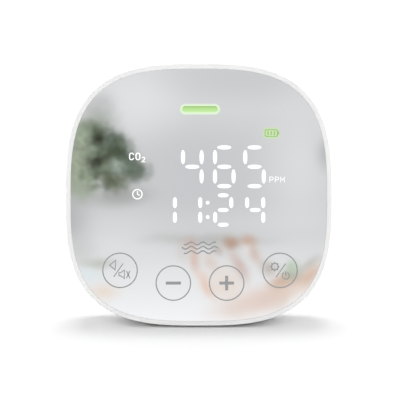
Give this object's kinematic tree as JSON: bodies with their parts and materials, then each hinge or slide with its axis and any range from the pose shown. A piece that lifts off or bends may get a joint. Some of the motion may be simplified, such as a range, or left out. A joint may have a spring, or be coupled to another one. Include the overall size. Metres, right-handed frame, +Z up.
{
  "type": "air quality monitor",
  "caption": "Desktop air quality monitor with a rounded-square mirror display face, touch keys, and a vented rear cover that leans it back on rubber feet.",
  "frame": {"origin": "on the table, under the middle of the monitor's bounding box", "axes": "+X across the face to the right as its reader sees it, +Y away from the reader towards the rear cover, +Z up"},
  "size_m": [0.1, 0.0426, 0.0983],
  "materials": {
    "white_shell": "fine satin texture",
    "half_mirror": "half-silvered glass that lets the display shine through",
    "foot_rubber": "matte",
    "black_steel": "black oxide",
    "bright_steel": "nickel plated",
    "spring_steel": "bright",
    "circuit_board": "green solder mask",
    "white_inner": "matte",
    "green_light": "clear green, lit from behind",
    "display_light": "milky film, lit from behind",
    "black_chip": "matte moulding",
    "black_plastic": "satin",
    "cell_pouch": "laminated foil",
    "dark_foam": "open-cell foam",
    "adhesive": "double-sided tape",
    "gold_plate": "gold flash",
    "white_membrane": "porous film",
    "red_insulation": "satin",
    "black_insulation": "satin"
  },
  "bodies": {
    "root": {"mirror_panel": "half_mirror", "front_bezel": "white_shell", "rear_cover": "white_shell", "mirror_adhesive": "adhesive", "foot_front_left": "foot_rubber", "foot_front_right": "foot_rubber", "foot_rear_left": "foot_rubber", "foot_rear_right": "foot_rubber", "cover_screw_top_left": "black_steel", "cover_screw_top_right": "black_steel", "cover_screw_bottom_left": "black_steel", "cover_screw_bottom_right": "black_steel", "segment_reflector": "white_inner", "diffuser_film": "display_light", "status_light_pipe": "green_light", "status_led_left": "white_inner", "status_led_middle": "white_inner", "status_led_right": "white_inner", "main_board": "circuit_board", "board_screw_top_left": "bright_steel", "board_screw_top_right": "bright_steel", "board_screw_bottom_left": "bright_steel", "board_screw_bottom_right": "bright_steel", "processor_chip": "black_chip", "display_driver_chip": "black_chip", "touch_driver_chip": "black_chip", "clock_crystal": "bright_steel", "touch_spring_alarm": "spring_steel", "touch_spring_minus": "spring_steel", "touch_spring_plus": "spring_steel", "touch_spring_settings": "spring_steel", "buzzer": "black_plastic", "sensor_board": "circuit_board", "sensor_chamber": "gold_plate", "sensor_membrane": "white_membrane", "sensor_header_left": "black_plastic", "sensor_header_right": "black_plastic", "sensor_gasket": "dark_foam", "dust_filter": "dark_foam", "battery_cell": "cell_pouch", "battery_tape": "dark_foam", "battery_socket": "white_inner", "battery_plug": "white_inner", "battery_lead_red": "red_insulation", "battery_lead_black": "black_insulation", "charging_board": "circuit_board", "charging_board_screw_left": "bright_steel", "charging_board_screw_right": "bright_steel", "charger_chip": "black_chip", "charger_coil": "black_plastic", "charging_lead_red": "red_insulation", "charging_lead_black": "black_insulation", "usb_socket_shell": "bright_steel", "usb_socket_tongue": "black_plastic"}
  },
  "joints": []
}
